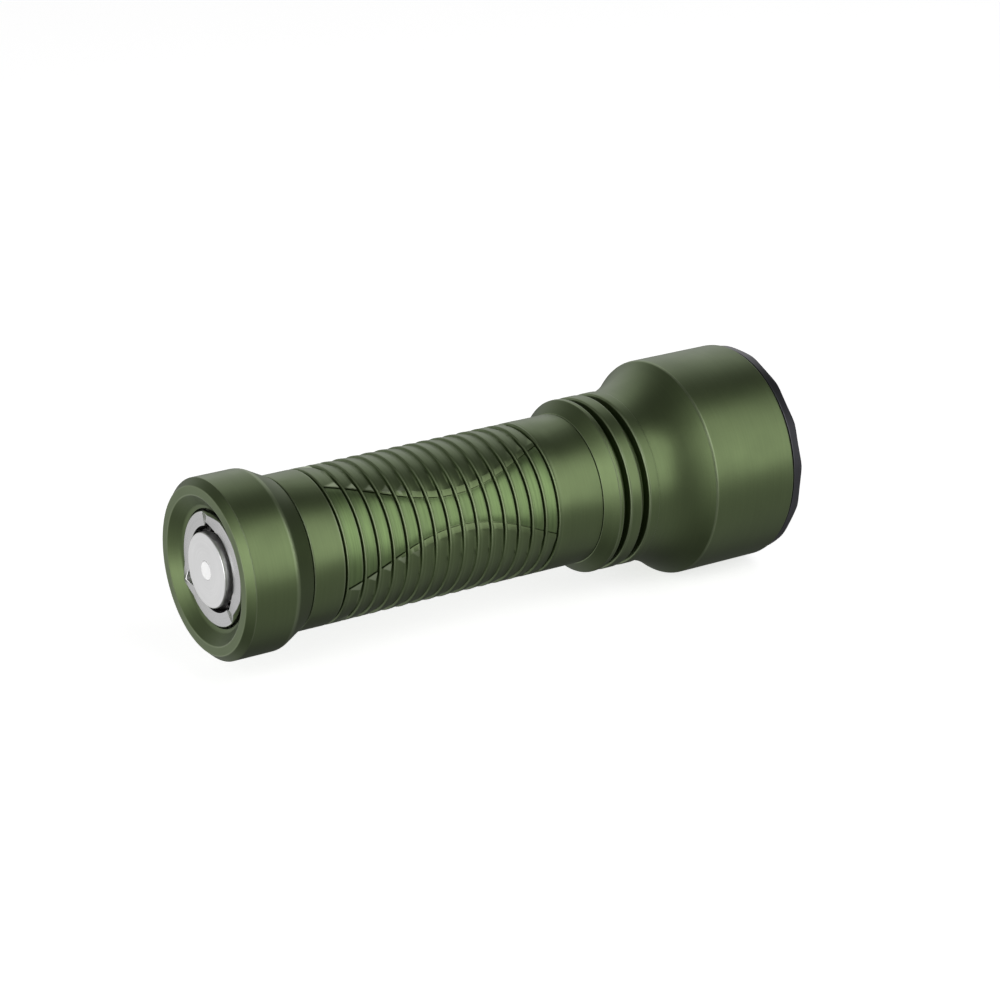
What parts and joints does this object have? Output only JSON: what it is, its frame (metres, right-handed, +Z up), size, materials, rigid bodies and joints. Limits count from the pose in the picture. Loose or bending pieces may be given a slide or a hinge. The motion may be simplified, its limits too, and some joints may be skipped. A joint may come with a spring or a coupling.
{
  "type": "tactical flashlight",
  "caption": "Compact turned-metal flashlight with a wide scalloped bezel, cooling fins, a ridged grip tube and a threaded tail cap with a round push button.",
  "frame": {"origin": "on the surface the torch lies on, below the middle of its length", "axes": "+X along the torch's axis from the tail rim to the bezel, +Z up"},
  "size_m": [0.1, 0.0348, 0.0348],
  "materials": {
    "olive_anodised": "satin anodised",
    "dark_anodised": "satin anodised",
    "silver_contact": "turned",
    "grey_button": "bead blasted",
    "white_contact": "smooth",
    "black_plastic": "moulded",
    "black_rubber": "matt",
    "spring_steel": "drawn",
    "gold_plating": "plated",
    "brass": "turned",
    "magnet_nickel": "nickel plated",
    "board_green": "solder mask",
    "board_white": "white solder mask",
    "chip_black": "moulded",
    "led_phosphor": "phosphor",
    "mirror_reflector": "mirror",
    "coated_glass": "coated",
    "cell_film": "shrink film",
    "cell_steel": "nickel plated",
    "cell_roll": "wound foil",
    "white_card": "matt",
    "wire_red": "insulation"
  },
  "bodies": {
    "torch_body": {"battery_tube": "olive_anodised", "head_housing": "olive_anodised", "bezel_ring": "dark_anodised", "lens_glass": "coated_glass", "lens_seal": "black_rubber", "reflector": "mirror_reflector", "led_centering_ring": "white_card", "led_emitter": "led_phosphor", "led_board": "board_white", "led_board_screw_left": "spring_steel", "led_board_screw_right": "spring_steel", "led_wire_positive": "wire_red", "led_wire_negative": "black_plastic", "driver_board": "board_green", "driver_inductor": "chip_black", "driver_controller": "chip_black", "driver_retaining_ring": "brass", "driver_contact_spring": "gold_plating", "tube_head_seal": "black_rubber", "tube_tail_seal": "black_rubber"},
    "cell": {"cell_can": "cell_steel", "cell_core": "cell_roll", "cell_sleeve": "cell_film", "cell_top_insulator": "white_card", "cell_positive_cap": "cell_steel"},
    "tail_contact": {"tail_contact_spring": "gold_plating"},
    "tail_cap": {"tail_cap": "olive_anodised", "contact_crown": "silver_contact", "contact_insulator": "black_plastic", "charge_magnet": "magnet_nickel", "button_seal": "black_rubber", "switch_body": "black_plastic", "switch_board": "board_green", "switch_retaining_ring": "brass"},
    "button": {"button_disc": "grey_button", "button_center_contact": "white_contact", "button_stem": "black_plastic", "button_return_spring": "spring_steel", "switch_plunger": "grey_button"}
  },
  "joints": [
    {"name": "tail_pull", "type": "slide", "parent": "torch_body", "child": "cell", "axis": [-1, 0, 0], "range_m": [0, 0.06]},
    {"name": "tail_thread", "type": "slide", "parent": "cell", "child": "tail_contact", "axis": [-1, 0, 0], "range_m": [0, 0.0038]},
    {"name": "tail_turn", "type": "hinge", "parent": "tail_contact", "child": "tail_cap", "pos_m": [-0.05, 0, 0.01742], "axis": [-1, 0, 0], "range_deg": [0, 1800]},
    {"name": "button_press", "type": "slide", "parent": "tail_cap", "child": "button", "axis": [1, 0, 0], "range_m": [0, 0.0007], "stiffness_N_per_m": 3000, "springref_m": -0.0003, "deforming": ["button_return_spring"]}
  ],
  "couplings": [
    {"joint": "tail_thread", "follows": "tail_turn", "m_per_rad": 0.00011937}
  ]
}
